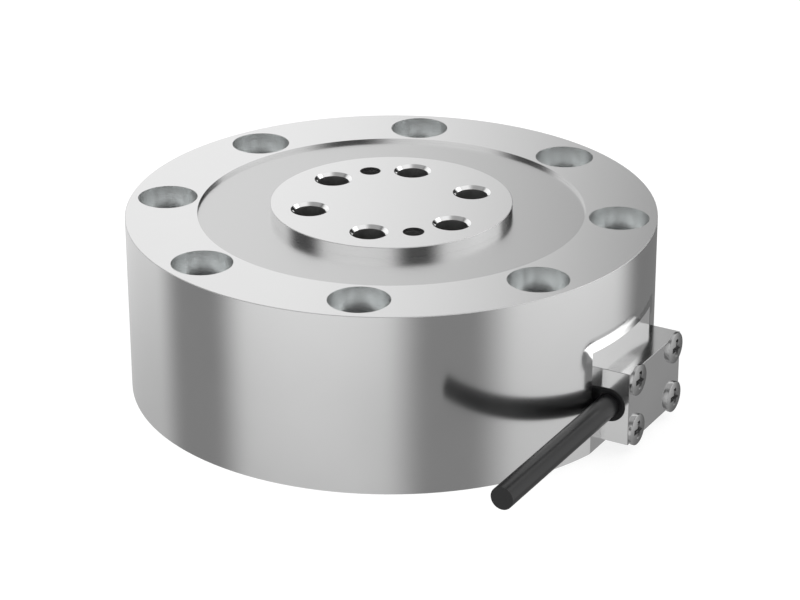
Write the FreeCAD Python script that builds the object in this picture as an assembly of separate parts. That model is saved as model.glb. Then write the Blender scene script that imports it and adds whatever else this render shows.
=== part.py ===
import FreeCAD, Part
import math
import os

# Force torque sensor for a robot wrist, in millimetres.
# The origin is the centre of the underside, +Z runs up the sensor's axis and
# +X points out through the junction box. The cable leaves the box along -Y.

Vector = FreeCAD.Vector
X_AXIS = Vector(1, 0, 0)
Y_AXIS = Vector(0, 1, 0)
Z_AXIS = Vector(0, 0, 1)
ORIGIN = Vector(0, 0, 0)

# Sensor body: outer ring, thin floor of the recess, and the hub that takes the load
body_diameter = 100.0
ring_height = 34.4
hub_diameter = 45.6
hub_rise = 1.4
recess_depth = 0.6
diaphragm_thickness = 1.4
edge_break = 0.1
overcut = 1.0

# M6 socket screws through the outer ring
ring_screw_count = 8
ring_screw_phase = 22.5
ring_screw_edge = 7.15
ring_screw_clearance = 6.6
counterbore_diameter = 11.3
counterbore_depth = 7.0
counterbore_land = 0.7

# M6 threads and dowel holes in the hub
hub_circle = 31.5
hub_thread_count = 6
hub_thread_phase = 45.0
hub_thread_diameter = 6.0
hub_thread_depth = 14.0
hub_thread_mouth = 7.2
drill_tip_slope = 0.6
dowel_count = 2
dowel_phase = 135.0
dowel_diameter = 4.0
dowel_depth = 6.0

# Underside: seat of the cover, wiring space, and the four spokes under the floor
seat_wall = 1.05
ledge_width = 5.0
wiring_height = 8.7
hub_foot_diameter = 44.0
spoke_count = 4
spoke_phase = 45.0
spoke_width = 9.0
spoke_height = 12.5
pocket_corner = 1.5

# Bottom cover with its gasket and countersunk M2 screws
cover_inset = 0.3
cover_thickness = 2.5
gasket_thickness = 0.5
cover_gap = 0.1
cover_screw_count = 6
cover_screw_phase = 30.0
cover_screw_diameter = 2.0
cover_screw_head = 3.8
cover_screw_length = 6.0

# Screw fits: a modelled thread hole is this much wider than its screw
thread_gap = 0.1
screw_clearance = 0.2
screw_hole_spare = 1.0

# Terminal board under the hub, on four spacers
board_inset = 2.5
board_thickness = 1.6
board_screw_count = 4
board_screw_phase = 45.0
board_screw_edge = 3.0
board_screw_diameter = 2.5
board_screw_head = 4.5
board_screw_head_height = 1.6
board_screw_bite = 4.0
spacer_height = 2.0
spacer_diameter = 4.5

# Parts on the terminal board
header_length = 6.0
header_width = 7.0
header_height = 3.0
header_edge = 3.5
plug_length = 5.0
plug_width = 6.0
plug_height = 2.8
resistor_count = 8
resistor_edge = 2.5
resistor_phase = 22.5
resistor_length = 2.0
resistor_width = 1.2
resistor_height = 0.6

# Strain gauges, their solder tabs and leads
gauge_thickness = 0.1
gauge_margin = 0.3
side_gauge_length = 3.0
side_gauge_height = 5.0
lower_gauge_length = 1.5
lower_gauge_width = 4.0
lower_gauge_gap = 0.5
tab_length = 1.6
tab_width = 5.0
tab_thickness = 0.4
tab_setback = 0.6
lead_diameter = 1.0
lead_bend_share = 0.45

# Junction box, one milled cap on a flat of the body
box_width = 21.5
box_height = 14.2
box_depth = 6.5
box_side_step = 0.9
box_bottom = 2.4
box_wall = 1.2
pocket_radius = 0.8
flat_margin = 0.5
ledge_gap = 3.6
box_screw_side_inset = 2.95
box_screw_end_inset = 2.1
box_screw_post = 2.1

# Low-head cross-recess M3 screws of the junction box
box_screw_diameter = 3.0
box_screw_head = 5.9
box_screw_rim = 0.45
box_screw_crown = 0.6
box_screw_bite = 6.0
cross_length = 3.2
cross_foot_length = 1.4
cross_width = 0.6
cross_depth = 1.1

# Cable, its rubber grommet and crimped ferrule
cable_diameter = 4.3
cable_reach = 41.2
cable_rise = 0.2
grommet_wall = 0.35
grommet_lip = 0.7
grommet_proud = 0.4
grommet_round = 0.3
grommet_gap = 0.05
ferrule_wall = 0.25
ferrule_length = 1.2
ferrule_gap = 0.2
core_count = 4
core_diameter = 0.9
core_spacing = 1.0
core_gap = 0.2

# Wires from the sensor's inside to the junction board
harness_diameter = 2.6
passage_diameter = 5.0
bush_length = 6.0

# Junction board inside the cap
small_board_thickness = 1.0
small_board_jacket_gap = 1.8
small_board_side_gap = 0.4
small_board_end_gap = 0.4
small_post_height = 1.0
small_post_diameter = 2.6
small_screw_diameter = 1.6
small_screw_head = 3.0
small_screw_head_height = 1.0
small_screw_bite = 1.4
small_screw_harness_gap = 0.2
small_screw_end_inset = 1.6

# Places worked out from the sizes above
body_radius = body_diameter / 2
hub_radius = hub_diameter / 2
hub_top = ring_height + hub_rise
recess_floor = ring_height - recess_depth
diaphragm_under = recess_floor - diaphragm_thickness
ring_screw_radius = body_radius - ring_screw_edge
counterbore_radius = counterbore_diameter / 2
recess_radius = ring_screw_radius - counterbore_radius - counterbore_land
seat_radius = ring_screw_radius - ring_screw_clearance / 2 - seat_wall
cavity_radius = seat_radius - ledge_width
ledge_height = cover_inset + cover_thickness + gasket_thickness
cover_screw_radius = cavity_radius + ledge_width / 2
hub_foot = ledge_height + wiring_height
hub_foot_radius = hub_foot_diameter / 2
spoke_foot = diaphragm_under - spoke_height

board_top = hub_foot - spacer_height
board_bottom = board_top - board_thickness
board_radius = hub_foot_radius - board_inset
board_screw_radius = board_radius - board_screw_edge
resistor_radius = board_radius - resistor_edge
header_end = board_radius - header_edge
plug_end = header_end + plug_length
harness_z = board_bottom - plug_height / 2

box_left = box_side_step - box_width / 2
box_right = box_side_step + box_width / 2
box_top = box_bottom + box_height
flat_half_width = box_right + flat_margin
flat_x = math.sqrt(body_radius ** 2 - flat_half_width ** 2)
flat_top = box_top + ledge_gap
box_front = flat_x + box_depth
box_inner_front = box_front - box_wall
box_screw_ys = (box_left + box_screw_side_inset, box_right - box_screw_side_inset)
box_screw_zs = (box_bottom + box_screw_end_inset, box_top - box_screw_end_inset)

cable_radius = cable_diameter / 2
slot_radius = cable_radius + grommet_wall
cable_x = flat_x + slot_radius
cable_z = (box_bottom + box_top) / 2 + cable_rise
cable_outer_y = box_left - cable_reach
ferrule_y = box_screw_ys[0] + box_screw_post + ferrule_gap
cable_inner_y = ferrule_y + ferrule_length
core_end_y = box_side_step - harness_diameter / 2 - core_gap

small_board_front = box_inner_front - small_post_height
small_board_back = small_board_front - small_board_thickness
small_board_right = box_screw_ys[1] - box_screw_post - small_board_side_gap
small_board_left = cable_inner_y + small_board_jacket_gap
small_board_low = box_bottom + box_wall + small_board_end_gap
small_board_high = box_top - box_wall - small_board_end_gap
small_screw_y = (
    box_side_step + harness_diameter / 2 + small_screw_harness_gap + small_screw_head / 2
)
small_screw_zs = (small_board_low + small_screw_end_inset, small_board_high - small_screw_end_inset)


def polar(radius, angle):
    turn = math.radians(angle)
    return radius * math.cos(turn), radius * math.sin(turn)


def angles(count, phase):
    return [phase + 360.0 * index / count for index in range(count)]


def ring_of(shape, radius, count, phase):
    copies = []
    for angle in angles(count, phase):
        x, y = polar(radius, angle)
        copies.append(shape.translated(Vector(x, y, 0)))
    return copies


def turned(shape, count, phase):
    return [shape.rotated(ORIGIN, Z_AXIS, angle) for angle in angles(count, phase)]


def group(solids):
    return Part.makeCompound(solids)


def block(x, y, z):
    size = Vector(x[1] - x[0], y[1] - y[0], z[1] - z[0])
    return Part.makeBox(size.x, size.y, size.z, Vector(x[0], y[0], z[0]))


def upright(radius, low, high):
    return Part.makeCylinder(radius, high - low, Vector(0, 0, low))


def along_x(radius, start, end, y, z):
    return Part.makeCylinder(radius, end - start, Vector(start, y, z), X_AXIS)


def along_y(radius, start, end, x, z):
    return Part.makeCylinder(radius, end - start, Vector(x, start, z), Y_AXIS)


def tube(outer, inner, low, high):
    return upright(outer, low, high).cut(upright(inner, low, high))


def turned_profile(points):
    corners = [Vector(radius, 0, z) for radius, z in points]
    outline = Part.makePolygon(corners + [corners[0]])
    return Part.Face(outline).revolve(ORIGIN, Z_AXIS, 360)


def extruded_outline(points, width):
    # Flat outline in the XZ plane, given thickness evenly to both sides
    corners = [Vector(x, -width / 2, z) for x, z in points]
    outline = Part.makePolygon(corners + [corners[0]])
    return Part.Face(outline).extrude(Vector(0, width, 0))


def body_blank():
    # Half section of ring, recess floor and hub
    return turned_profile([
        (0, 0),
        (body_radius, 0),
        (body_radius, ring_height - edge_break),
        (body_radius - edge_break, ring_height),
        (recess_radius, ring_height),
        (recess_radius, recess_floor),
        (hub_radius, recess_floor),
        (hub_radius, hub_top - edge_break),
        (hub_radius - edge_break, hub_top),
        (0, hub_top),
    ])


def counterbored_hole():
    clearance = ring_screw_clearance / 2
    shoulder = ring_height - counterbore_depth
    return turned_profile([
        (0, -overcut),
        (clearance, -overcut),
        (clearance, shoulder),
        (counterbore_radius, shoulder),
        (counterbore_radius, ring_height + overcut),
        (0, ring_height + overcut),
    ])


def hub_thread_hole():
    bore = hub_thread_diameter / 2
    mouth = hub_thread_mouth / 2
    end = hub_top - hub_thread_depth
    return turned_profile([
        (0, end - bore * drill_tip_slope),
        (bore, end),
        (bore, hub_top - (mouth - bore)),
        (mouth, hub_top),
        (mouth, hub_top + overcut),
        (0, hub_top + overcut),
    ])


def underside_pocket():
    # One of the openings milled between two spokes, up to the thin floor
    half = spoke_width / 2
    sector = tube(cavity_radius, hub_foot_radius, spoke_foot, diaphragm_under)
    corner = block((half, body_radius), (half, body_radius), (0, ring_height))
    pocket = sector.common(corner)
    uprights = []
    for edge in pocket.Edges:
        run = edge.Vertexes[-1].Point.sub(edge.Vertexes[0].Point)
        if abs(run.z) > spoke_height / 2:
            uprights.append(edge)
    return pocket.makeFillet(pocket_corner, uprights)


def underside_cuts():
    thread = (cover_screw_diameter + thread_gap) / 2
    cover_thread_end = cover_inset + cover_screw_length + screw_hole_spare
    cover_thread = upright(thread, ledge_height, cover_thread_end)
    board_thread_radius = (board_screw_diameter + thread_gap) / 2
    board_thread_end = hub_foot + board_screw_bite + screw_hole_spare
    board_thread = upright(board_thread_radius, hub_foot, board_thread_end)
    cuts = [
        upright(seat_radius, -overcut, ledge_height),
        upright(cavity_radius, 0, hub_foot),
        tube(cavity_radius, hub_foot_radius, hub_foot, spoke_foot),
    ]
    cuts += turned(underside_pocket(), spoke_count, spoke_phase)
    cuts += ring_of(cover_thread, cover_screw_radius, cover_screw_count, cover_screw_phase)
    cuts += ring_of(board_thread, board_screw_radius, board_screw_count, board_screw_phase)
    return cuts


def junction_cuts():
    # The milled flat with its ledge, the screw threads and the passage for the wires
    flat = block(
        (flat_x, body_radius + overcut), (-body_radius, body_radius), (-overcut, flat_top)
    )
    thread = (box_screw_diameter + thread_gap) / 2
    thread_end = flat_x - box_screw_bite - screw_hole_spare
    cuts = [flat]
    for y in box_screw_ys:
        for z in box_screw_zs:
            cuts.append(along_x(thread, thread_end, flat_x, y, z))
    passage = along_x(
        passage_diameter / 2, cavity_radius - overcut, flat_x, box_side_step, harness_z
    )
    cuts.append(passage)
    return cuts


def sensor_body():
    dowel = upright(dowel_diameter / 2, hub_top - dowel_depth, hub_top + overcut)
    cuts = ring_of(counterbored_hole(), ring_screw_radius, ring_screw_count, ring_screw_phase)
    cuts += ring_of(hub_thread_hole(), hub_circle / 2, hub_thread_count, hub_thread_phase)
    cuts += ring_of(dowel, hub_circle / 2, dowel_count, dowel_phase)
    cuts += underside_cuts()
    cuts += junction_cuts()
    return body_blank().cut(cuts).removeSplitter()


def bottom_cover():
    cover_top = cover_inset + cover_thickness
    disc = upright(seat_radius - cover_gap, cover_inset, cover_top)
    shank = cover_screw_diameter / 2 + screw_clearance
    head = cover_screw_head / 2 + screw_clearance
    hole = turned_profile([
        (0, cover_inset - overcut),
        (head, cover_inset - overcut),
        (head, cover_inset),
        (shank, cover_inset + head - shank),
        (shank, cover_top + overcut),
        (0, cover_top + overcut),
    ])
    return disc.cut(ring_of(hole, cover_screw_radius, cover_screw_count, cover_screw_phase))


def cover_gasket():
    low = cover_inset + cover_thickness
    ring = tube(seat_radius - cover_gap, cavity_radius + cover_gap, low, ledge_height)
    hole = upright(cover_screw_diameter / 2 + screw_clearance, low, ledge_height)
    return ring.cut(ring_of(hole, cover_screw_radius, cover_screw_count, cover_screw_phase))


def cover_screws():
    shank = cover_screw_diameter / 2
    head = cover_screw_head / 2
    screw = turned_profile([
        (0, cover_inset),
        (head, cover_inset),
        (shank, cover_inset + head - shank),
        (shank, cover_inset + cover_screw_length),
        (0, cover_inset + cover_screw_length),
    ])
    return group(ring_of(screw, cover_screw_radius, cover_screw_count, cover_screw_phase))


def terminal_board():
    disc = upright(board_radius, board_bottom, board_top)
    hole = upright(board_screw_diameter / 2 + screw_clearance, board_bottom, board_top)
    return disc.cut(ring_of(hole, board_screw_radius, board_screw_count, board_screw_phase))


def board_spacers():
    inner = board_screw_diameter / 2 + screw_clearance
    spacer = tube(spacer_diameter / 2, inner, board_top, hub_foot)
    return group(ring_of(spacer, board_screw_radius, board_screw_count, board_screw_phase))


def board_screws():
    shank = board_screw_diameter / 2
    head = board_screw_head / 2
    head_low = board_bottom - board_screw_head_height
    screw = turned_profile([
        (0, head_low),
        (head - edge_break, head_low),
        (head, head_low + edge_break),
        (head, board_bottom),
        (shank, board_bottom),
        (shank, hub_foot + board_screw_bite),
        (0, hub_foot + board_screw_bite),
    ])
    return group(ring_of(screw, board_screw_radius, board_screw_count, board_screw_phase))


def board_header():
    # Shrouded connector on the board's lower face, with room for the pins of the plug
    half = header_width / 2
    return block(
        (header_end - header_length, header_end),
        (box_side_step - half, box_side_step + half),
        (board_bottom - header_height, board_bottom),
    )


def harness_plug():
    half = plug_width / 2
    half_height = plug_height / 2
    return block(
        (header_end, plug_end),
        (box_side_step - half, box_side_step + half),
        (harness_z - half_height, harness_z + half_height),
    )


def bridge_resistors():
    half = resistor_width / 2
    resistor = block(
        (resistor_radius - resistor_length / 2, resistor_radius + resistor_length / 2),
        (-half, half),
        (board_bottom - resistor_height, board_bottom),
    )
    return group(turned(resistor, resistor_count, resistor_phase))


def side_gauges():
    # Foil gauges bonded to both flanks of each spoke, close to the hub
    half = spoke_width / 2
    start = math.sqrt(hub_foot_radius ** 2 - half ** 2) + pocket_corner + gauge_margin
    along = (start, start + side_gauge_length)
    height = (spoke_foot + diaphragm_under) / 2
    tall = (height - side_gauge_height / 2, height + side_gauge_height / 2)
    left = block(along, (half, half + gauge_thickness), tall)
    right = block(along, (-half - gauge_thickness, -half), tall)
    patches = turned(left, spoke_count, spoke_phase) + turned(right, spoke_count, spoke_phase)
    return group(patches)


def lower_gauges():
    # Two foil gauges in line on the lower face of each spoke
    first = hub_foot_radius + tab_setback + tab_length + gauge_margin
    second = first + lower_gauge_length + lower_gauge_gap
    half = lower_gauge_width / 2
    under = (spoke_foot - gauge_thickness, spoke_foot)
    patches = []
    for start in (first, second):
        patch = block((start, start + lower_gauge_length), (-half, half), under)
        patches += turned(patch, spoke_count, spoke_phase)
    return group(patches)


def gauge_tabs():
    start = hub_foot_radius + tab_setback
    half = tab_width / 2
    tab = block(
        (start, start + tab_length), (-half, half), (spoke_foot - tab_thickness, spoke_foot)
    )
    return group(turned(tab, spoke_count, spoke_phase))


def gauge_leads():
    # Bundle of fine wires from each solder tab down and in to the edge of the board
    lead_x = hub_foot_radius + tab_setback + tab_length / 2
    top = Vector(lead_x, 0, spoke_foot - tab_thickness)
    corner = Vector(lead_x, 0, board_bottom + board_thickness / 2)
    end = Vector(board_radius, 0, corner.z)
    bend = lead_bend_share * (lead_x - board_radius)
    slant = bend * (1 - math.sqrt(0.5))
    arc_start = Vector(lead_x, 0, corner.z + bend)
    arc_middle = Vector(lead_x - slant, 0, corner.z + slant)
    arc_end = Vector(lead_x - bend, 0, corner.z)
    path = Part.Wire([
        Part.LineSegment(top, arc_start).toShape(),
        Part.Arc(arc_start, arc_middle, arc_end).toShape(),
        Part.LineSegment(arc_end, end).toShape(),
    ])
    section = Part.Wire(Part.makeCircle(lead_diameter / 2, top, Z_AXIS))
    lead = path.makePipeShell([section], True, False)
    return group(turned(lead, spoke_count, spoke_phase))


def inner_harness():
    return along_x(
        harness_diameter / 2, plug_end, small_board_back, box_side_step, harness_z
    )


def passage_bush():
    start = flat_x - bush_length
    outer = passage_diameter / 2 - grommet_gap
    inner = harness_diameter / 2 + grommet_gap
    bush = along_x(outer, start, flat_x, box_side_step, harness_z)
    return bush.cut(along_x(inner, start, flat_x, box_side_step, harness_z))


def rounded_pocket(y, z):
    pocket = block((flat_x - overcut, box_inner_front), y, z)
    corners = []
    for edge in pocket.Edges:
        run = edge.Vertexes[-1].Point.sub(edge.Vertexes[0].Point)
        if abs(run.x) > box_wall:
            corners.append(edge)
    return pocket.makeFillet(pocket_radius, corners)


def slot_shape(radius, low_y, high_y):
    # U shape seen along Y: open at the body's flat, round about the cable
    axis = Vector(cable_x, low_y, cable_z)
    drop = Vector(0, 0, radius)
    low = axis.sub(drop)
    high = axis.add(drop)
    low_flat = Vector(flat_x, low_y, low.z)
    high_flat = Vector(flat_x, low_y, high.z)
    nose = axis.add(Vector(radius, 0, 0))
    outline = Part.Wire([
        Part.LineSegment(low_flat, low).toShape(),
        Part.Arc(low, nose, high).toShape(),
        Part.LineSegment(high, high_flat).toShape(),
        Part.LineSegment(high_flat, low_flat).toShape(),
    ])
    return Part.Face(outline).extrude(Vector(0, high_y - low_y, 0))


def junction_cap():
    cap = block((flat_x, box_front), (box_left, box_right), (box_bottom, box_top))
    outer_edges = []
    for edge in cap.Edges:
        if edge.BoundBox.XMax > box_front - box_wall / 2:
            outer_edges.append(edge)
    cap = cap.makeChamfer(edge_break, outer_edges)
    post = box_screw_post
    wide = rounded_pocket(
        (box_left + box_wall, box_right - box_wall),
        (box_screw_zs[0] + post, box_screw_zs[1] - post),
    )
    tall = rounded_pocket(
        (box_screw_ys[0] + post, box_screw_ys[1] - post),
        (box_bottom + box_wall, box_top - box_wall),
    )
    cap = cap.cut([wide, tall])
    for z in small_screw_zs:
        bench = along_x(
            small_post_diameter / 2, small_board_front, box_inner_front, small_screw_y, z
        )
        cap = cap.fuse(bench)
    holes = [slot_shape(slot_radius, box_left - overcut, box_left + box_wall + overcut)]
    clearance = box_screw_diameter / 2 + screw_clearance / 2
    for y in box_screw_ys:
        for z in box_screw_zs:
            holes.append(along_x(clearance, flat_x - overcut, box_front + overcut, y, z))
    small_thread = (small_screw_diameter + thread_gap) / 2
    small_end = small_board_front + small_screw_bite + thread_gap
    for z in small_screw_zs:
        holes.append(along_x(small_thread, small_board_front, small_end, small_screw_y, z))
    return cap.cut(holes).removeSplitter()


def box_screws():
    # Thin head with a crowned face and a cross recess whose four wings taper inward
    shank = box_screw_diameter / 2
    head = box_screw_head / 2
    rim = Vector(head, 0, box_screw_rim)
    crown = Vector(0, 0, box_screw_crown)
    rise = box_screw_crown - box_screw_rim
    sphere = (head ** 2 + rise ** 2) / (2 * rise)
    half = head / 2
    shoulder_z = box_screw_crown - sphere + math.sqrt(sphere ** 2 - half ** 2)
    edges = [
        Part.Arc(crown, Vector(half, 0, shoulder_z), rim).toShape(),
        Part.LineSegment(rim, Vector(head, 0, 0)).toShape(),
        Part.LineSegment(Vector(head, 0, 0), Vector(shank, 0, 0)).toShape(),
        Part.LineSegment(
            Vector(shank, 0, 0), Vector(shank, 0, -box_depth - box_screw_bite)
        ).toShape(),
        Part.LineSegment(
            Vector(shank, 0, -box_depth - box_screw_bite),
            Vector(0, 0, -box_depth - box_screw_bite),
        ).toShape(),
        Part.LineSegment(Vector(0, 0, -box_depth - box_screw_bite), crown).toShape(),
    ]
    screw = Part.Face(Part.Wire(edges)).revolve(ORIGIN, Z_AXIS, 360)
    arm = cross_length / 2
    foot = cross_foot_length / 2
    low = box_screw_crown - cross_depth
    high = box_screw_crown + overcut
    reach = arm + (arm - foot) / cross_depth * overcut
    wing = extruded_outline([(-foot, low), (foot, low), (reach, high), (-reach, high)], cross_width)
    screw = screw.cut([wing, wing.rotated(ORIGIN, Z_AXIS, 90)])
    screw = screw.rotated(ORIGIN, Y_AXIS, 90)
    screws = []
    for y in box_screw_ys:
        for z in box_screw_zs:
            screws.append(screw.translated(Vector(box_front, y, z)))
    return group(screws)


def junction_board():
    board = block(
        (small_board_back, small_board_front),
        (small_board_left, small_board_right),
        (small_board_low, small_board_high),
    )
    holes = []
    for z in small_screw_zs:
        radius = small_screw_diameter / 2 + screw_clearance / 2
        holes.append(along_x(radius, small_board_back, small_board_front, small_screw_y, z))
    return board.cut(holes)


def junction_board_screws():
    screws = []
    tip = small_board_front + small_screw_bite
    head_back = small_board_back - small_screw_head_height
    for z in small_screw_zs:
        shank = along_x(small_screw_diameter / 2, small_board_back, tip, small_screw_y, z)
        head = along_x(small_screw_head / 2, head_back, small_board_back, small_screw_y, z)
        screws.append(head.fuse(shank).removeSplitter())
    return group(screws)


def cable_grommet():
    # Rubber plug in the open slot of the cap, with a rounded lip outside
    outer_y = box_left - grommet_proud
    lip = slot_shape(slot_radius + grommet_lip, outer_y, box_left)
    rounds = []
    for edge in lip.Edges:
        box = edge.BoundBox
        outside = box.YMax < outer_y + grommet_proud / 2
        if outside and box.XMax > flat_x + overcut / 2:
            rounds.append(edge)
    lip = lip.makeFillet(grommet_round, rounds)
    plug = slot_shape(slot_radius - grommet_gap, box_left, ferrule_y)
    bore = along_y(cable_radius + grommet_gap, outer_y - overcut, ferrule_y, cable_x, cable_z)
    return lip.fuse(plug).cut(bore).removeSplitter()


def cable_ferrule():
    outer = cable_radius + grommet_gap + ferrule_wall
    ring = along_y(outer, ferrule_y, cable_inner_y, cable_x, cable_z)
    bore = along_y(cable_radius + grommet_gap, ferrule_y, cable_inner_y, cable_x, cable_z)
    return ring.cut(bore)


def cable():
    return along_y(cable_radius, cable_outer_y, cable_inner_y, cable_x, cable_z)


def cable_cores():
    # Insulated wires from the end of the jacket to the face of the junction board
    core_x = small_board_back - core_diameter / 2
    cores = []
    for index in range(core_count):
        z = cable_z + (index - (core_count - 1) / 2) * core_spacing
        cores.append(along_y(core_diameter / 2, cable_inner_y, core_end_y, core_x, z))
    return group(cores)


NODES = {
    "sensor_body": sensor_body,
    "bottom_cover": bottom_cover,
    "cover_gasket": cover_gasket,
    "cover_screws": cover_screws,
    "terminal_board": terminal_board,
    "board_spacers": board_spacers,
    "board_screws": board_screws,
    "board_header": board_header,
    "harness_plug": harness_plug,
    "bridge_resistors": bridge_resistors,
    "side_gauges": side_gauges,
    "lower_gauges": lower_gauges,
    "gauge_tabs": gauge_tabs,
    "gauge_leads": gauge_leads,
    "inner_harness": inner_harness,
    "passage_bush": passage_bush,
    "junction_cap": junction_cap,
    "box_screws": box_screws,
    "junction_board": junction_board,
    "junction_board_screws": junction_board_screws,
    "cable_grommet": cable_grommet,
    "cable_ferrule": cable_ferrule,
    "cable": cable,
    "cable_cores": cable_cores,
}


def main():
    os.makedirs("parts", exist_ok=True)
    for name, make in NODES.items():
        shape = make()
        if not shape.isValid() or not shape.Solids:
            raise RuntimeError(name + " is not a sound solid")
        shape.exportStep("parts/" + name + ".step")
        print(name, len(shape.Solids), "solids,", round(shape.Volume, 1), "mm3")


main()
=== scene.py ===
import math

import bmesh
import bpy
from mathutils import Matrix, Vector


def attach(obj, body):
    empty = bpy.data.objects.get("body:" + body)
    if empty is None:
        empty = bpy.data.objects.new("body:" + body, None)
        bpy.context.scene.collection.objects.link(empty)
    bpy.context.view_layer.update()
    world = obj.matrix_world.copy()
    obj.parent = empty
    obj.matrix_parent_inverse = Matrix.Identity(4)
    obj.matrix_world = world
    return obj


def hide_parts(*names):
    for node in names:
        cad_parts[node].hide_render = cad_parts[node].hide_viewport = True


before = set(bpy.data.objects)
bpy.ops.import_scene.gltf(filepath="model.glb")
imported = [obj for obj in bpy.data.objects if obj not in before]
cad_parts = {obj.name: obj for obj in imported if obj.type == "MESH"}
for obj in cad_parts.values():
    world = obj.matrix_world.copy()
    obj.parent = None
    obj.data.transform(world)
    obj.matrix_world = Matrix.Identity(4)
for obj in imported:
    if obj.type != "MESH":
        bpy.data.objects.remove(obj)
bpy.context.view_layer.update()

MM = 0.001

# Camera, solved from the circles and edges of the object. Metres, degrees and millimetres of film.
CAMERA_DISTANCE = 0.484853
CAMERA_HEIGHT = 0.232162
CAMERA_TURN = 30.16
CAMERA_YAW = 0.186
CAMERA_PITCH = 24.097
CAMERA_ROLL = -0.15
CAMERA_LENS = 125.12
SENSOR_WIDTH = 36.0
CLIP_START = 0.01
CLIP_END = 20.0

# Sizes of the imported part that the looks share
BODY_RADIUS = 50.0 * MM
RING_TOP = 34.4 * MM
RECESS_RADIUS = 36.5 * MM
RECESS_FLOOR = 33.8 * MM
HUB_RADIUS = 22.8 * MM
HUB_TOP = 35.8 * MM
EDGE_BREAK = 0.1 * MM
RING_SCREW_COUNT = 8
RING_SCREW_PHASE = math.radians(22.5)
RING_SCREW_RADIUS = 42.85 * MM
COUNTERBORE_RADIUS = 5.65 * MM
COUNTERBORE_SEAT = 27.4 * MM
SEAT_TOP = 20.2 * MM
SEAT_HALF = 12.3 * MM
BOX_TOP = 16.6 * MM
BOX_FRONT = 55.0 * MM

# The hub's holes: a circle round them all, their lowest point and the depth of their mouths
HOLE_REACH = 20.0 * MM
HOLE_BOTTOM = 21.0 * MM
MOUTH_DEPTH = 0.62 * MM

# Margins that take a zone of a material just past a face, or stop it just short of one
FACE_MARGIN = 0.01 * MM
FOOT_MARGIN = 0.02 * MM
WALL_MARGIN = 0.05 * MM
EDGE_MARGIN = 0.12 * MM
SEAT_MARGIN = 0.1 * MM
CAP_TOP_MARGIN = 0.04 * MM
CAP_EDGE_MARGIN = 0.005 * MM

# Colour and finish of those zones
RECESS_COLOUR = (0.68, 0.68, 0.68)
RECESS_ROUGHNESS = 0.26
# Counterbore walls: satin, and painted lighter than the body as painted light in the hollows
BORE_PAINTED_LIGHT_COLOUR = (0.97, 0.985, 0.985)
BORE_ROUGHNESS = 0.25
BORE_METAL = 0.95
# Painted highlight on the chamfered mouths of the hub's holes
MOUTH_HIGHLIGHT_COLOUR = (0.98, 0.98, 0.98)
# Painted shade on the walls of the hub's holes, with a rougher finish
HOLE_SHADE_COLOUR = (0.45, 0.45, 0.45)
HOLE_ROUGHNESS = 0.4
# Broken edges: rougher, and painted darker as painted shade that dims their highlight
EDGE_SHADE_COLOUR = (0.72, 0.72, 0.72)
EDGE_ROUGHNESS = 0.5
# Painted highlight on the cap's upper face
CAP_TOP_HIGHLIGHT_COLOUR = (0.95, 0.95, 0.95)
# Painted shade on the cap's front edge, dimming its highlight
CAP_EDGE_SHADE_COLOUR = (0.5, 0.5, 0.5)

# Soft corner over the seat of the junction box: how far it is at its full lean, where it
# ends, how much it leans, how wide it is at the sides, and the heights where it fades in
CORNER_FULL = 0.8 * MM
CORNER_REACH = 3.3 * MM
CORNER_LEAN = 0.3
CORNER_SIDE_SHARE = 0.9
CORNER_FADE_LOW = SEAT_TOP - 3 * MM
CORNER_FADE_HIGH = SEAT_TOP - 1 * MM

# Textures: the scale and used range of the slow cloud, and the scale and depth of fine marks
METAL_CLOUD_SCALE = 60.0
POLYMER_CLOUD_SCALE = 220.0
CLOUD_DETAIL = 3.0
CLOUD_LOW = 0.25
CLOUD_HIGH = 0.75
MARK_SCALE = 2600.0
FINE_DETAIL = 2.0
BUMP_DEPTH = 0.02 * MM

# Each metal: its name, light and dark colour, least and most roughness, whether its marks
# run round the sensor's axis, and how strong they are
METALS = {
    "body": ("body_metal", (0.83, 0.83, 0.83), (0.79, 0.79, 0.79), 0.12, 0.16, True, 0.05),
    "cap": ("cap_metal", (0.82, 0.82, 0.82), (0.76, 0.76, 0.76), 0.1, 0.14, False, 0.03),
    "cover": ("cover_metal", (0.8, 0.8, 0.8), (0.75, 0.75, 0.75), 0.26, 0.32, True, 0.1),
    "screw": ("screw_steel", (0.48, 0.48, 0.48), (0.4, 0.4, 0.4), 0.14, 0.2, False, 0.1),
    # The cross look is near-black painted shade for the faces inside the screws' cross recess
    "cross": ("painted_cross_shade", (0.03, 0.03, 0.03), (0.02, 0.02, 0.02), 0.3, 0.4, False, 0.1),
    "brass": ("brass", (0.78, 0.62, 0.32), (0.7, 0.54, 0.26), 0.2, 0.3, False, 0.1),
    "tin": ("tinned_pads", (0.75, 0.74, 0.7), (0.66, 0.65, 0.6), 0.25, 0.4, False, 0.2),
}

# Each rubber or plastic: its name, light and dark colour, least and most roughness, the
# size and strength of its grain, and its shine
POLYMERS = {
    "rubber": (
        "black_rubber", (0.006, 0.006, 0.0065), (0.004, 0.004, 0.0045), 0.34, 0.42, 3000, 0.1, 0.2),
    "jacket": (
        "cable_jacket", (0.012, 0.012, 0.0125), (0.008, 0.008, 0.0085), 0.27, 0.33, 2500, 0.08, 0.42),
    "board": ("board_mask", (0.03, 0.2, 0.09), (0.02, 0.15, 0.07), 0.3, 0.42, 1500, 0.1, 0.5),
    "moulded": ("pale_plastic", (0.84, 0.82, 0.75), (0.78, 0.76, 0.69), 0.4, 0.5, 1800, 0.1, 0.5),
    "chip": ("chip_body", (0.06, 0.06, 0.07), (0.04, 0.04, 0.05), 0.4, 0.55, 1800, 0.1, 0.5),
    "film": ("gauge_film", (0.7, 0.42, 0.12), (0.6, 0.34, 0.08), 0.25, 0.35, 900, 0.1, 0.5),
    "wire": ("wire_skin", (0.55, 0.08, 0.06), (0.45, 0.05, 0.04), 0.35, 0.45, 1500, 0.1, 0.5),
}

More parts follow.
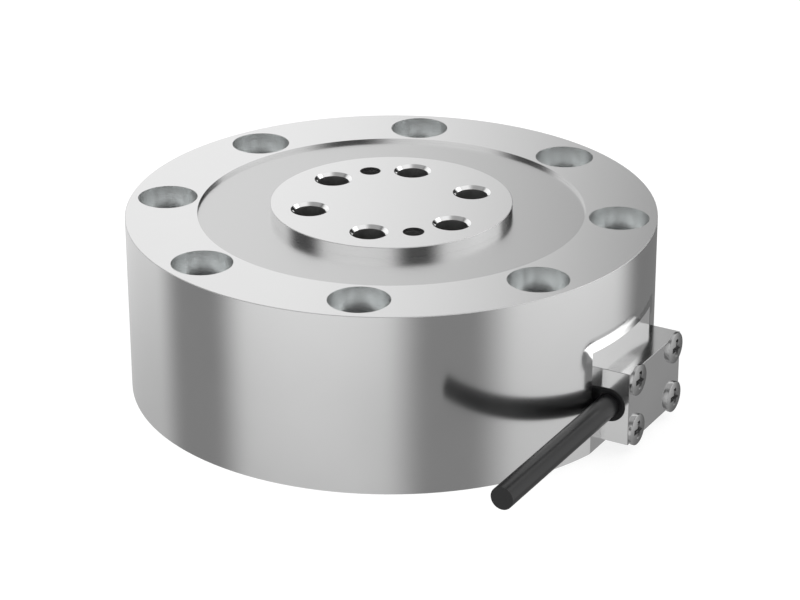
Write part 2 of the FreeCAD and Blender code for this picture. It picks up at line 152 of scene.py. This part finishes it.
NODE_LOOKS = {
    "sensor_body": "body",
    "bottom_cover": "cover",
    "cover_gasket": "rubber",
    "cover_screws": "screw",
    "terminal_board": "board",
    "board_spacers": "brass",
    "board_screws": "screw",
    "board_header": "moulded",
    "harness_plug": "moulded",
    "bridge_resistors": "chip",
    "side_gauges": "film",
    "lower_gauges": "film",
    "gauge_tabs": "tin",
    "gauge_leads": "wire",
    "inner_harness": "jacket",
    "passage_bush": "rubber",
    "junction_cap": "cap",
    "box_screws": "screw",
    "junction_board": "board",
    "junction_board_screws": "screw",
    "cable_grommet": "rubber",
    "cable_ferrule": "brass",
    "cable": "jacket",
    "cable_cores": "wire",
}

# Cable: the same route as the part's source
CABLE_DIAMETER = 4.3 * MM
CABLE_X = 51.0 * MM
CABLE_Z = 9.7 * MM
CABLE_INNER_Y = -3.4 * MM
CABLE_OUTER_Y = -51.05 * MM
CABLE_EXIT_Y = -10.25 * MM
CABLE_STOPS = (CABLE_INNER_Y, CABLE_EXIT_Y, -28.0 * MM, -40.0 * MM, CABLE_OUTER_Y)
CABLE_ROUNDNESS = 12
CABLE_ORDER = 3
CABLE_STEPS = 8

# The junction box's screws. Heights are above the cap's front, and the cross is pressed
# in from the crown.
SCREW_YS = (-6.9 * MM, 8.7 * MM)
SCREW_ZS = (4.5 * MM, 14.5 * MM)
SCREW_HEAD_RADIUS = 2.95 * MM
SCREW_RIM_HEIGHT = 0.58 * MM
SCREW_RIM_ROUND = 0.12 * MM
SCREW_CROWN_HEIGHT = 0.78 * MM
SCREW_SHANK_RADIUS = 1.5 * MM
SCREW_SHANK_LENGTH = 12.5 * MM
SCREW_SIDES = 64
RIM_STEPS = 4
CROWN_STEPS = 8
WELD_DISTANCE = 0.001 * MM
SHARP_ANGLE = math.radians(35)
CROSS_LENGTH = 3.6 * MM
CROSS_FOOT = 1.8 * MM
CROSS_WIDTH = 1.0 * MM
CROSS_DEPTH = 1.3 * MM
CROSS_TURNS = (0, math.pi / 2)

# Soft boxes round the object, seen only in reflections. Each has a middle, then for either
# side an angle from that middle to the edge, how far the edge moves with height, half the
# width of its soft band, and how much that band narrows with height. Last come its strength,
# how much it dims from its middle outwards, and how much higher it hangs. Angles are in
# degrees, and the middles are turned from +X.
SOFT_BOXES = (
    (153.0, (-37.8, 0.0, 8.0, 0.0), (35.7, 0.0, 10.3, 0.0), 0.86, 0.0, 0.02),
    (-94.0, (-39.0, 0.0, 10.3, 0.0), (40.0, 0.0, 10.3, 0.0), 0.99, 0.3, 0.0),
    (16.0, (-31.2, 0.0, 12.0, 0.0), (48.7, 7.8, 8.2, 11.2), 0.96, 0.25, 0.006),
)
FRONT_TURN = -94.0
CARD_TURN = 52.0
CARD_LEVEL = 1.75
DIFFUSE_LEVEL = 0.8

# Steps of the studio's brightness: the two ends of the step, as the height of a direction
# or how far it points to one side, then the level before and after it
PANEL_LOW = (-0.475, -0.37, 0.57, 0.95)
PANEL_MIDDLE = (-0.36, 0.3, 0.0, 0.21)
PANEL_TOP = (0.34, 0.44, 0.0, -0.12)
GAP_STEP = (-0.3, 0.2, 0.236, 0.055)
BACK_GAP_STEP = (-0.3, 0.2, 0.2, 0.02)
BACK_STEP = (-0.87, -0.77, 1.0, 0.0)
CARD_LOW = (0.48, 0.56, 0.0, 1.0)
CARD_HIGH = (0.7, 0.78, 1.0, 0.0)
CARD_SIDE = (0.65, 0.75, 0.0, 1.0)
CEILING_EDGE = (0.62, 0.8, 0.0, 1.0)
CEILING_STEP = (0.1, 0.4, 0.85, 0.32)

# Floor: its size and place, its paint, and how bright it shows by itself
FLOOR_REACH = 3.0
FLOOR_HEIGHT = -0.05 * MM
FLOOR_COLOUR = (0.3, 0.3, 0.3, 1)
FLOOR_GLOW = 0.78

# Each lamp: its name, place, size and power
LAMPS = (
    ("key_lamp", (-0.5, -0.7, 0.9), 0.7, 6.0),
    ("fill_lamp", (0.8, 0.3, 0.7), 0.8, 3.0),
)


def feed(tree, socket, value):
    # A socket takes another node's output or a plain value
    if isinstance(value, bpy.types.NodeSocket):
        tree.links.new(value, socket)
    else:
        socket.default_value = value


def math_node(tree, operation, *values):
    node = tree.nodes.new("ShaderNodeMath")
    node.operation = operation
    for socket, value in zip(node.inputs, values):
        feed(tree, socket, value)
    return node.outputs[0]


def vector_node(tree, operation, *values):
    node = tree.nodes.new("ShaderNodeVectorMath")
    node.operation = operation
    for socket, value in zip(node.inputs, values):
        feed(tree, socket, value)
    return node.outputs["Value" if operation == "DOT_PRODUCT" else "Vector"]


def total(tree, first, second):
    return math_node(tree, "ADD", first, second)


def difference(tree, first, second):
    return math_node(tree, "SUBTRACT", first, second)


def product(tree, *values):
    result = values[0]
    for value in values[1:]:
        result = math_node(tree, "MULTIPLY", result, value)
    return result


def squares(tree, first, second):
    return total(tree, product(tree, first, first), product(tree, second, second))


def length(tree, first, second):
    return math_node(tree, "SQRT", squares(tree, first, second))


def inside(tree, value, low, high):
    # One between two limits, and zero outside them
    above = math_node(tree, "GREATER_THAN", value, low)
    below = math_node(tree, "LESS_THAN", value, high)
    return product(tree, above, below)


def near(tree, value, middle, margin):
    return inside(tree, value, middle - margin, middle + margin)


def mixed(tree, kind, share, first, second):
    # The first of two values where the share is zero, and the second where it is one
    node = tree.nodes.new("ShaderNodeMix")
    node.data_type = kind
    for name, value in (("Factor", share), ("A", first), ("B", second)):
        feed(tree, node.inputs[name], value)
    return node.outputs["Result"]


def mapped(tree, shape, value, low, high, start, stop):
    node = tree.nodes.new("ShaderNodeMapRange")
    node.interpolation_type = shape
    names = ("Value", "From Min", "From Max", "To Min", "To Max")
    for name, setting in zip(names, (value, low, high, start, stop)):
        feed(tree, node.inputs[name], setting)
    return node.outputs["Result"]


def stepped(tree, value, low, high, start, stop):
    # Smooth change from start to stop as the value goes from low to high
    return mapped(tree, "SMOOTHSTEP", value, low, high, start, stop)


def split(tree, vector):
    node = tree.nodes.new("ShaderNodeSeparateXYZ")
    feed(tree, node.inputs[0], vector)
    return node.outputs["X"], node.outputs["Y"], node.outputs["Z"]


def joined(tree, **parts):
    node = tree.nodes.new("ShaderNodeCombineXYZ")
    for name, value in parts.items():
        feed(tree, node.inputs[name], value)
    return node.outputs[0]


def object_point(tree):
    return tree.nodes.new("ShaderNodeTexCoord").outputs["Object"]


def noise(tree, vector, scale, detail):
    node = tree.nodes.new("ShaderNodeTexNoise")
    for name, value in (("Vector", vector), ("Scale", scale), ("Detail", detail)):
        feed(tree, node.inputs[name], value)
    return node.outputs["Fac"]


def bumped(tree, height, shader, strength):
    node = tree.nodes.new("ShaderNodeBump")
    for name, value in (("Strength", strength), ("Distance", BUMP_DEPTH), ("Height", height)):
        feed(tree, node.inputs[name], value)
    feed(tree, shader.inputs["Normal"], node.outputs["Normal"])


def turned_point(tree):
    # Distance from the sensor's axis and height, so that tool marks run round the part
    x, y, height = split(tree, object_point(tree))
    return joined(tree, X=length(tree, x, y), Z=height)


def new_material(name):
    material = bpy.data.materials.new(name)
    material.use_nodes = True
    tree = material.node_tree
    return material, tree, tree.nodes["Principled BSDF"]


def clouded(tree, shader, point, scale, light, dark, smooth, rough):
    # A slow change of colour and gloss over the surface
    cloud = noise(tree, point, scale, CLOUD_DETAIL)
    feed(tree, shader.inputs["Base Color"], mixed(tree, "RGBA", cloud, (*dark, 1), (*light, 1)))
    gloss = mapped(tree, "LINEAR", cloud, CLOUD_LOW, CLOUD_HIGH, smooth, rough)
    feed(tree, shader.inputs["Roughness"], gloss)


def metal(name, light, dark, smooth, rough, turned, marks):
    # Bare machined metal with faint tool marks
    material, tree, shader = new_material(name)
    point = object_point(tree)
    clouded(tree, shader, point, METAL_CLOUD_SCALE, light, dark, smooth, rough)
    shader.inputs["Metallic"].default_value = 1.0
    along = turned_point(tree) if turned else point
    bumped(tree, noise(tree, along, MARK_SCALE, FINE_DETAIL), shader, marks)
    return material


def polymer(name, light, dark, smooth, rough, grain_scale, grain, shine):
    # Moulded rubber or plastic with a fine grain
    material, tree, shader = new_material(name)
    point = object_point(tree)
    clouded(tree, shader, point, POLYMER_CLOUD_SCALE, light, dark, smooth, rough)
    shader.inputs["Specular IOR Level"].default_value = shine
    bumped(tree, noise(tree, point, grain_scale, FINE_DETAIL), shader, grain)
    return material


def counterbore_mask(tree, radius, turn, height):
    # One in the eight counterbores, found by folding the ring into one eighth
    half = math.pi / RING_SCREW_COUNT
    folded = math_node(tree, "WRAP", turn, RING_SCREW_PHASE + half, RING_SCREW_PHASE - half)
    side = difference(tree, folded, RING_SCREW_PHASE)
    x = product(tree, radius, math_node(tree, "COSINE", side))
    y = product(tree, radius, math_node(tree, "SINE", side))
    away = squares(tree, difference(tree, x, RING_SCREW_RADIUS), y)
    close = math_node(tree, "LESS_THAN", away, (COUNTERBORE_RADIUS + WALL_MARGIN) ** 2)
    deep = inside(tree, height, COUNTERBORE_SEAT - SEAT_MARGIN, RING_TOP - WALL_MARGIN)
    return product(tree, close, deep)


def round_normal(tree, radius, height):
    # Straight out from the axis on the wall and the hub, so that neither shows a seam
    wall = product(
        tree, near(tree, radius, BODY_RADIUS, WALL_MARGIN),
        inside(tree, height, FOOT_MARGIN, RING_TOP - EDGE_BREAK))
    hub = product(
        tree, near(tree, radius, HUB_RADIUS, WALL_MARGIN),
        inside(tree, height, RECESS_FLOOR + FACE_MARGIN, HUB_TOP - EDGE_BREAK))
    level = vector_node(tree, "MULTIPLY", object_point(tree), (1, 1, 0))
    out = vector_node(tree, "NORMALIZE", level)
    plain = tree.nodes.new("ShaderNodeNewGeometry").outputs["Normal"]
    return mixed(tree, "VECTOR", total(tree, wall, hub), plain, out)


def soft_corner(tree, shader, radius, turn, height):
    # The wall leans in towards the seat of the junction box, as over a rounded corner
    top = math_node(tree, "MAXIMUM", difference(tree, height, SEAT_TOP), 0.0)
    arc = product(tree, math_node(tree, "ABSOLUTE", turn), BODY_RADIUS)
    side = math_node(tree, "MAXIMUM", difference(tree, arc, SEAT_HALF), 0.0)
    square = total(tree, product(tree, top, top), product(tree, side, side, CORNER_SIDE_SHARE))
    reach = math_node(tree, "SQRT", square)
    lean = product(
        tree, stepped(tree, reach, CORNER_FULL, CORNER_REACH, CORNER_LEAN, 0.0),
        stepped(tree, height, CORNER_FADE_LOW, CORNER_FADE_HIGH, 0, 1),
        near(tree, radius, BODY_RADIUS, WALL_MARGIN), -1.0)
    bent = vector_node(tree, "ADD", round_normal(tree, radius, height), joined(tree, Z=lean))
    bump = shader.inputs["Normal"].links[0].from_node
    feed(tree, bump.inputs["Normal"], vector_node(tree, "NORMALIZE", bent))


def varied(tree, shader, zones):
    # Other colours and finishes in the masked zones of a material
    for mask, colour, roughness in zones:
        plain = shader.inputs["Base Color"].links[0].from_socket
        feed(tree, shader.inputs["Base Color"], mixed(tree, "RGBA", mask, plain, (*colour, 1)))
        if roughness is not None:
            plain = shader.inputs["Roughness"].links[0].from_socket
            feed(tree, shader.inputs["Roughness"], mixed(tree, "FLOAT", mask, plain, roughness))


def finish_body(material):
    # The body is glossy, with a duller recess floor, satin counterbores painted lighter as
    # painted light, broken edges painted darker as painted shade over their highlight, and
    # painted highlights on the mouths of the hub's holes over walls painted dark as painted shade
    tree = material.node_tree
    shader = tree.nodes["Principled BSDF"]
    x, y, height = split(tree, object_point(tree))
    radius = length(tree, x, y)
    turn = math_node(tree, "ARCTAN2", y, x)
    bore = counterbore_mask(tree, radius, turn, height)
    recess = product(
        tree, inside(tree, radius, HUB_RADIUS - FACE_MARGIN, RECESS_RADIUS + FACE_MARGIN),
        near(tree, height, RECESS_FLOOR, FACE_MARGIN))
    ring_edge = product(
        tree, near(tree, radius, BODY_RADIUS, EDGE_MARGIN), near(tree, height, RING_TOP, EDGE_MARGIN))
    hub_edge = product(
        tree, near(tree, radius, HUB_RADIUS, EDGE_MARGIN), near(tree, height, HUB_TOP, EDGE_MARGIN))
    among_holes = math_node(tree, "LESS_THAN", radius, HOLE_REACH)
    mouth = product(
        tree, among_holes, inside(tree, height, HUB_TOP - MOUTH_DEPTH, HUB_TOP - FACE_MARGIN))
    hole = product(tree, among_holes, inside(tree, height, HOLE_BOTTOM, HUB_TOP - MOUTH_DEPTH))
    varied(tree, shader, (
        (recess, RECESS_COLOUR, RECESS_ROUGHNESS),
        (bore, BORE_PAINTED_LIGHT_COLOUR, BORE_ROUGHNESS),
        (total(tree, ring_edge, hub_edge), EDGE_SHADE_COLOUR, EDGE_ROUGHNESS),
        (mouth, MOUTH_HIGHLIGHT_COLOUR, None),
        (hole, HOLE_SHADE_COLOUR, HOLE_ROUGHNESS)))
    feed(tree, shader.inputs["Metallic"], mixed(tree, "FLOAT", bore, 1.0, BORE_METAL))
    soft_corner(tree, shader, radius, turn, height)


def finish_cap(material):
    # The cap of the junction box has a painted highlight on its upper face and painted shade on the edge
    # at its front
    tree = material.node_tree
    x, _, height = split(tree, object_point(tree))
    top = math_node(tree, "GREATER_THAN", height, BOX_TOP - CAP_TOP_MARGIN)
    edge = product(
        tree, math_node(tree, "GREATER_THAN", x, BOX_FRONT - EDGE_BREAK + CAP_EDGE_MARGIN),
        math_node(tree, "GREATER_THAN", height, BOX_TOP - EDGE_BREAK + CAP_EDGE_MARGIN))
    varied(tree, tree.nodes["Principled BSDF"], (
        (top, CAP_TOP_HIGHLIGHT_COLOUR, None), (edge, CAP_EDGE_SHADE_COLOUR, EDGE_ROUGHNESS)))


def materials():
    made = {look: metal(*values) for look, values in METALS.items()}
    made.update({look: polymer(*values) for look, values in POLYMERS.items()})
    finish_body(made["body"])
    finish_cap(made["cap"])
    return made


def dress_nodes(looks):
    for node, look in NODE_LOOKS.items():
        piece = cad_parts[node]
        piece.data.materials.clear()
        piece.data.materials.append(looks[look])


def towards(tree, direction, degrees):
    # How far a direction points to one side of the studio
    angle = math.radians(degrees)
    return vector_node(tree, "DOT_PRODUCT", direction, (math.cos(angle), math.sin(angle), 0))


def panel_level(tree, height):
    # A soft box is dim near the floor, brightest above the horizon, and dimmer again on top
    low, middle, top = (stepped(tree, height, *step) for step in (PANEL_LOW, PANEL_MIDDLE, PANEL_TOP))
    return total(tree, low, total(tree, middle, top))


def box_share(tree, turn, height, low_edge, high_edge):
    # One inside a soft box, and zero outside it, by the angle from its middle
    shares = []
    for edge, start, stop in ((low_edge, 0.0, 1.0), (high_edge, 1.0, 0.0)):
        place, drift, soft, narrowing = (math.radians(value) for value in edge)
        moved = total(tree, product(tree, height, drift), place)
        width = difference(tree, soft, product(tree, height, narrowing))
        from_edge = math_node(tree, "DIVIDE", difference(tree, turn, moved), width)
        shares.append(stepped(tree, from_edge, -1.0, 1.0, start, stop))
    return product(tree, *shares)


def studio_level(tree, direction):
    # Brightness of the studio in a direction: three soft boxes with darker gaps between
    # them, an even ceiling that is dim at the front, and a bright card high on one side
    x, y, height = split(tree, direction)
    turn = math_node(tree, "ARCTAN2", y, x)
    facing = towards(tree, direction, FRONT_TURN)
    level = mixed(
        tree, "FLOAT", stepped(tree, facing, *BACK_STEP),
        stepped(tree, height, *GAP_STEP), stepped(tree, height, *BACK_GAP_STEP))
    for middle, low_edge, high_edge, strength, crown, lift in SOFT_BOXES:
        away = math_node(
            tree, "WRAP", difference(tree, turn, math.radians(middle)), math.pi, -math.pi)
        share = box_share(tree, away, height, low_edge, high_edge)
        dimmed = difference(tree, strength, product(tree, away, away, crown))
        panel = panel_level(tree, difference(tree, height, lift))
        level = mixed(tree, "FLOAT", share, level, product(tree, panel, dimmed))
    card = product(
        tree, stepped(tree, height, *CARD_LOW), stepped(tree, height, *CARD_HIGH),
        stepped(tree, towards(tree, direction, CARD_TURN), *CARD_SIDE))
    ceiling = stepped(tree, facing, *CEILING_STEP)
    level = mixed(tree, "FLOAT", stepped(tree, height, *CEILING_EDGE), level, ceiling)
    return mixed(tree, "FLOAT", card, level, CARD_LEVEL)


def studio_world():
    # Reflections show the studio, other light is even, and the camera sees plain white
    world = bpy.data.worlds.new("studio")
    bpy.context.scene.world = world
    world.use_nodes = True
    tree = world.node_tree
    direction = tree.nodes.new("ShaderNodeTexCoord").outputs["Generated"]
    level = studio_level(tree, direction)
    path = tree.nodes.new("ShaderNodeLightPath")
    lit = mixed(tree, "FLOAT", path.outputs["Is Glossy Ray"], DIFFUSE_LEVEL, level)
    seen = mixed(tree, "FLOAT", path.outputs["Is Camera Ray"], lit, 1.0)
    background = tree.nodes["Background"]
    background.inputs["Color"].default_value = (1, 1, 1, 1)
    feed(tree, background.inputs["Strength"], seen)


def floor():
    # White to the camera, with the object's soft shadow, and clear in reflections
    mesh = bpy.data.meshes.new("floor")
    reach = FLOOR_REACH
    corners = [(-reach, -reach, 0), (reach, -reach, 0), (reach, reach, 0), (-reach, reach, 0)]
    mesh.from_pydata(corners, [], [(0, 1, 2, 3)])
    piece = bpy.data.objects.new("floor", mesh)
    piece.location.z = FLOOR_HEIGHT
    bpy.context.scene.collection.objects.link(piece)
    material, tree, shader = new_material("floor_paint")
    shader.inputs["Base Color"].default_value = FLOOR_COLOUR
    shader.inputs["Roughness"].default_value = 1.0
    shader.inputs["Specular IOR Level"].default_value = 0.0
    shader.inputs["Emission Color"].default_value = (1, 1, 1, 1)
    shader.inputs["Emission Strength"].default_value = FLOOR_GLOW
    path = tree.nodes.new("ShaderNodeLightPath")
    clear = tree.nodes.new("ShaderNodeBsdfTransparent")
    mix = tree.nodes.new("ShaderNodeMixShader")
    tree.links.new(path.outputs["Is Glossy Ray"], mix.inputs["Fac"])
    tree.links.new(shader.outputs[0], mix.inputs[1])
    tree.links.new(clear.outputs[0], mix.inputs[2])
    tree.links.new(mix.outputs[0], tree.nodes["Material Output"].inputs["Surface"])
    mesh.materials.append(material)


def lamp(name, place, size, power):
    # A round lamp that points at the object and shows in no reflection
    data = bpy.data.lights.new(name, "AREA")
    data.shape = "DISK"
    data.size = size
    data.energy = power
    piece = bpy.data.objects.new(name, data)
    piece.location = place
    piece.rotation_euler = (-Vector(place)).to_track_quat("-Z", "Y").to_euler()
    piece.visible_glossy = False
    bpy.context.scene.collection.objects.link(piece)


def camera():
    spin = Matrix.Rotation(math.radians(CAMERA_TURN), 3, "Z")
    yaw = math.radians(CAMERA_YAW)
    pitch = math.radians(CAMERA_PITCH)
    roll = math.radians(CAMERA_ROLL)
    forward = Vector((math.sin(yaw) * math.cos(pitch), math.cos(yaw) * math.cos(pitch), -math.sin(pitch)))
    right = Vector((math.cos(yaw), -math.sin(yaw), 0))
    up = right.cross(forward)
    rolled_right = math.cos(roll) * right + math.sin(roll) * up
    rolled_up = math.cos(roll) * up - math.sin(roll) * right
    axes = [spin @ axis for axis in (rolled_right, rolled_up, -forward)]
    data = bpy.data.cameras.new("camera")
    data.lens = CAMERA_LENS
    data.sensor_width = SENSOR_WIDTH
    data.clip_start = CLIP_START
    data.clip_end = CLIP_END
    piece = bpy.data.objects.new("camera", data)
    place = spin @ Vector((0, -CAMERA_DISTANCE, 0)) + Vector((0, 0, CAMERA_HEIGHT))
    piece.matrix_world = Matrix.Translation(place) @ Matrix(axes).transposed().to_4x4()
    bpy.context.scene.collection.objects.link(piece)
    bpy.context.scene.camera = piece


def cable(looks):
    # The jacket in one smooth round piece
    curve = bpy.data.curves.new("cable_jacket", "CURVE")
    curve.dimensions = "3D"
    curve.bevel_depth = CABLE_DIAMETER / 2
    curve.bevel_resolution = CABLE_ROUNDNESS
    curve.use_fill_caps = True
    line = curve.splines.new("NURBS")
    line.points.add(len(CABLE_STOPS) - 1)
    for point, y in zip(line.points, CABLE_STOPS):
        point.co = (CABLE_X, y, CABLE_Z, 1)
    line.order_u = CABLE_ORDER
    line.use_endpoint_u = True
    line.resolution_u = CABLE_STEPS
    piece = bpy.data.objects.new("cable_jacket", curve)
    bpy.context.scene.collection.objects.link(piece)
    curve.materials.append(looks["jacket"])
    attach(piece, "root")
    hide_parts("cable")


def screw_profile():
    # Half section, as distance from the screw's axis and height above the cap
    rim = SCREW_HEAD_RADIUS - SCREW_RIM_ROUND
    points = [(0, -SCREW_SHANK_LENGTH), (SCREW_SHANK_RADIUS, -SCREW_SHANK_LENGTH)]
    points += [(SCREW_SHANK_RADIUS, 0), (SCREW_HEAD_RADIUS, 0)]
    for step in range(RIM_STEPS + 1):
        turn = math.radians(90 * step / RIM_STEPS)
        height = SCREW_RIM_HEIGHT + SCREW_RIM_ROUND * (math.sin(turn) - 1)
        points.append((rim + SCREW_RIM_ROUND * math.cos(turn), height))
    rise = SCREW_CROWN_HEIGHT - SCREW_RIM_HEIGHT
    for step in range(1, CROWN_STEPS + 1):
        share = 1 - step / CROWN_STEPS
        points.append((rim * share, SCREW_RIM_HEIGHT + rise * (1 - share ** 2)))
    return points


def screw_blank(y, z):
    # The turned screw before its cross is pressed in
    shape = bmesh.new()
    points = [shape.verts.new((height, 0, away)) for away, height in screw_profile()]
    lines = [shape.edges.new(pair) for pair in zip(points, points[1:])]
    bmesh.ops.spin(
        shape, geom=points + lines, cent=(0, 0, 0), axis=(1, 0, 0), angle=2 * math.pi,
        steps=SCREW_SIDES, use_merge=True)
    bmesh.ops.remove_doubles(shape, verts=shape.verts, dist=WELD_DISTANCE)
    bmesh.ops.recalc_face_normals(shape, faces=shape.faces)
    bmesh.ops.translate(shape, verts=shape.verts, vec=(BOX_FRONT, y, z))
    return shape


def cross_wing(y, z, turn):
    # One tapered bar of the cross, from its foot to well above the crown
    low = SCREW_CROWN_HEIGHT - CROSS_DEPTH
    high = SCREW_CROWN_HEIGHT + CROSS_DEPTH
    foot = CROSS_FOOT / 2
    reach = CROSS_LENGTH - foot
    half = CROSS_WIDTH / 2
    shape = bmesh.new()
    corners = [(low, -foot), (low, foot), (high, reach), (high, -reach)]
    left, right = (
        [shape.verts.new((height, across, away)) for height, away in corners]
        for across in (-half, half))
    shape.faces.new(left)
    shape.faces.new(list(reversed(right)))
    for index in range(4):
        after = (index + 1) % 4
        shape.faces.new((left[index], right[index], right[after], left[after]))
    bmesh.ops.recalc_face_normals(shape, faces=shape.faces)
    bmesh.ops.rotate(shape, verts=shape.verts, cent=(0, 0, 0), matrix=Matrix.Rotation(turn, 3, "X"))
    bmesh.ops.translate(shape, verts=shape.verts, vec=(BOX_FRONT, y, z))
    return shape


def mesh_piece(name, shape):
    mesh = bpy.data.meshes.new(name)
    shape.to_mesh(mesh)
    shape.free()
    piece = bpy.data.objects.new(name, mesh)
    bpy.context.scene.collection.objects.link(piece)
    return piece


def carved(piece, cutters):
    # Takes the cutters out of the piece for good, and deletes them
    for cutter in cutters:
        cut = piece.modifiers.new("cross", "BOOLEAN")
        cut.operation = "DIFFERENCE"
        cut.solver = "EXACT"
        cut.object = cutter
    bpy.context.view_layer.update()
    ready = piece.evaluated_get(bpy.context.evaluated_depsgraph_get())
    mesh = bpy.data.meshes.new_from_object(ready)
    piece.modifiers.clear()
    piece.data = mesh
    for cutter in cutters:
        bpy.data.objects.remove(cutter)


def crossed_screw(y, z):
    # One screw, with the faces in its cross set to the second material, the painted shade of the cross
    screw = mesh_piece("screw_blank", screw_blank(y, z))
    carved(screw, [mesh_piece("wing", cross_wing(y, z, turn)) for turn in CROSS_TURNS])
    for face in screw.data.polygons:
        height = face.center.x - BOX_FRONT
        away = math.hypot(face.center.y - y, face.center.z - z)
        if away < CROSS_LENGTH / 2 and -CROSS_DEPTH < height < SCREW_RIM_HEIGHT - SCREW_RIM_ROUND:
            face.material_index = 1
    return screw


def screws(looks):
    whole = bmesh.new()
    for y in SCREW_YS:
        for z in SCREW_ZS:
            screw = crossed_screw(y, z)
            whole.from_mesh(screw.data)
            bpy.data.objects.remove(screw)
    for face in whole.faces:
        face.smooth = True
    for edge in whole.edges:
        edge.smooth = edge.calc_face_angle(math.pi) < SHARP_ANGLE
    piece = mesh_piece("box_screw_set", whole)
    piece.data.materials.append(looks["screw"])
    # Second material: painted shade inside the cross
    piece.data.materials.append(looks["cross"])
    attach(piece, "root")
    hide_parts("box_screws")


bpy.context.scene.view_settings.view_transform = "Standard"
looks = materials()
camera()
cable(looks)
screws(looks)
dress_nodes(looks)
studio_world()
floor()
for values in LAMPS:
    lamp(*values)
